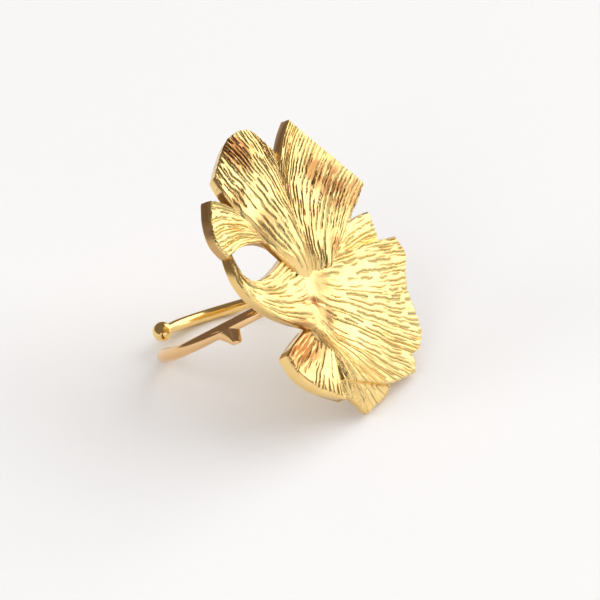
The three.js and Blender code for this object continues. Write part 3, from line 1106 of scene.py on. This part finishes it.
def add_camera(stage):
    """The camera faces LOOK_AT from AZIMUTH, ELEVATION degrees up, turned by ROLL."""
    azimuth, elevation, roll = (math.radians(angle) for angle in (AZIMUTH, ELEVATION, ROLL))
    near = Vector((
        math.sin(azimuth) * math.cos(elevation),
        -math.cos(azimuth) * math.cos(elevation),
        math.sin(elevation),
    ))
    level = Vector((0, 0, 1)).cross(near).normalized()
    upward = near.cross(level)
    right = level * math.cos(roll) + upward * math.sin(roll)
    up = near.cross(right)
    data = bpy.data.cameras.new("camera")
    data.sensor_width = SENSOR
    data.lens = data.sensor_width * stage.distance / (PICTURE_WIDTH * MM)
    data.clip_start, data.clip_end = NEAREST, FARTHEST
    camera = add_object("camera", data)
    turn = Matrix((right, up, near)).transposed().to_4x4()
    camera.matrix_world = Matrix.Translation(Vector(LOOK_AT) * MM + near * stage.distance) @ turn
    bpy.context.scene.camera = camera


# -------------------- operators


class LEAFRING_OT_leaves(bpy.types.Operator):
    """Add the two ribbed leaves"""

    bl_idname = "leaf_ring.leaves"
    bl_label = "Add the Leaves"

    def execute(self, context):
        leaf = context.scene.leaf_ring_leaf
        finish = context.scene.leaf_ring_finish
        materials = [ribbed_gold(finish), polished_gold("polished_gold", finish, finish.gold)]
        for name, lobes, hollows in (
            ("upper_leaf", UPPER_LEAF, []),
            ("lower_leaf", LOWER_LEAF, HOLLOWS),
        ):
            solids = []
            all_marks = []
            for number, lobe in enumerate(lobes):
                seed = LOBE_SEED + SEED_STEP * number + len(lobes)
                points, faces, ribbed, marks = lobe_mesh(lobe, hollows, seed, leaf)
                solids.append(new_piece(f"{name}_{number}", points, faces, materials, ribbed))
                all_marks.append(marks)
            before = np.concatenate([mesh_points(solid.data) for solid in solids])
            tree = point_tree(before)
            whole = join_solids(solids, name)
            nearest = [tree.find(point)[1] for point in mesh_points(whole.data)]
            write_marks(whole.data, np.concatenate(all_marks)[nearest])
            soften_folds(whole.data, tree, BLEND * MM)
            declare(whole)
        return {"FINISHED"}


class LEAFRING_OT_band(bpy.types.Operator):
    """Add the open wire band with its ball end and its bud"""

    bl_idname = "leaf_ring.band"
    bl_label = "Add the Band"

    def execute(self, context):
        band = context.scene.leaf_ring_band
        finish = context.scene.leaf_ring_finish
        materials = [
            polished_gold("rosy_gold", finish, finish.rosy),
            polished_gold("polished_gold", finish, finish.gold),
        ]
        solids = []
        for kind, (strand, wire, ball) in enumerate((
            (PLAIN_STRAND, band.plain_wire, 0.0),
            (BALL_STRAND, band.ball_wire, band.ball),
        )):
            centres, radii = strand_line(strand, wire / MM, ball / MM, band)
            points, faces = swept_tube(centres, radii)
            solids.append(new_piece("strand", points, faces, materials, [kind] * len(faces)))
        points, faces = bud_mesh(band)
        solids.append(new_piece("bud", points, faces, materials, [0] * len(faces)))
        declare(join_solids(solids, "band"))
        return {"FINISHED"}


class LEAFRING_OT_stage(bpy.types.Operator):
    """Add the floor, the light and the camera"""

    bl_idname = "leaf_ring.stage"
    bl_label = "Add the Stage"

    def execute(self, context):
        stage = context.scene.leaf_ring_stage
        add_floor(stage)
        add_light(stage)
        add_camera(stage)
        return {"FINISHED"}


class LEAFRING_PT_panel(bpy.types.Panel):
    """The ring's pieces and their sizes"""

    bl_idname = "LEAFRING_PT_panel"
    bl_label = "Leaf Ring"
    bl_space_type = "VIEW_3D"
    bl_region_type = "UI"
    bl_category = "Leaf Ring"

    def draw(self, context):
        layout = self.layout
        for group, operator in (
            ("leaf_ring_leaf", "leaf_ring.leaves"),
            ("leaf_ring_band", "leaf_ring.band"),
            ("leaf_ring_finish", None),
            ("leaf_ring_stage", "leaf_ring.stage"),
        ):
            settings = getattr(context.scene, group)
            box = layout.box()
            for name in settings.__annotations__:
                box.prop(settings, name)
            if operator:
                box.operator(operator)


SETTINGS = {
    "leaf_ring_leaf": LeafSettings,
    "leaf_ring_band": BandSettings,
    "leaf_ring_finish": FinishSettings,
    "leaf_ring_stage": StageSettings,
}
OPERATORS = (LEAFRING_OT_leaves, LEAFRING_OT_band, LEAFRING_OT_stage)


def register():
    for name, settings in SETTINGS.items():
        bpy.utils.register_class(settings)
        setattr(bpy.types.Scene, name, PointerProperty(type=settings))
    for operator in OPERATORS:
        bpy.utils.register_class(operator)
    bpy.utils.register_class(LEAFRING_PT_panel)


def unregister():
    bpy.utils.unregister_class(LEAFRING_PT_panel)
    for operator in reversed(OPERATORS):
        bpy.utils.unregister_class(operator)
    for name, settings in SETTINGS.items():
        delattr(bpy.types.Scene, name)
        bpy.utils.unregister_class(settings)


def main():
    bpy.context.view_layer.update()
    register()
    bpy.ops.leaf_ring.leaves()
    bpy.ops.leaf_ring.band()
    bpy.ops.leaf_ring.stage()


if __name__ == "__main__":
    main()
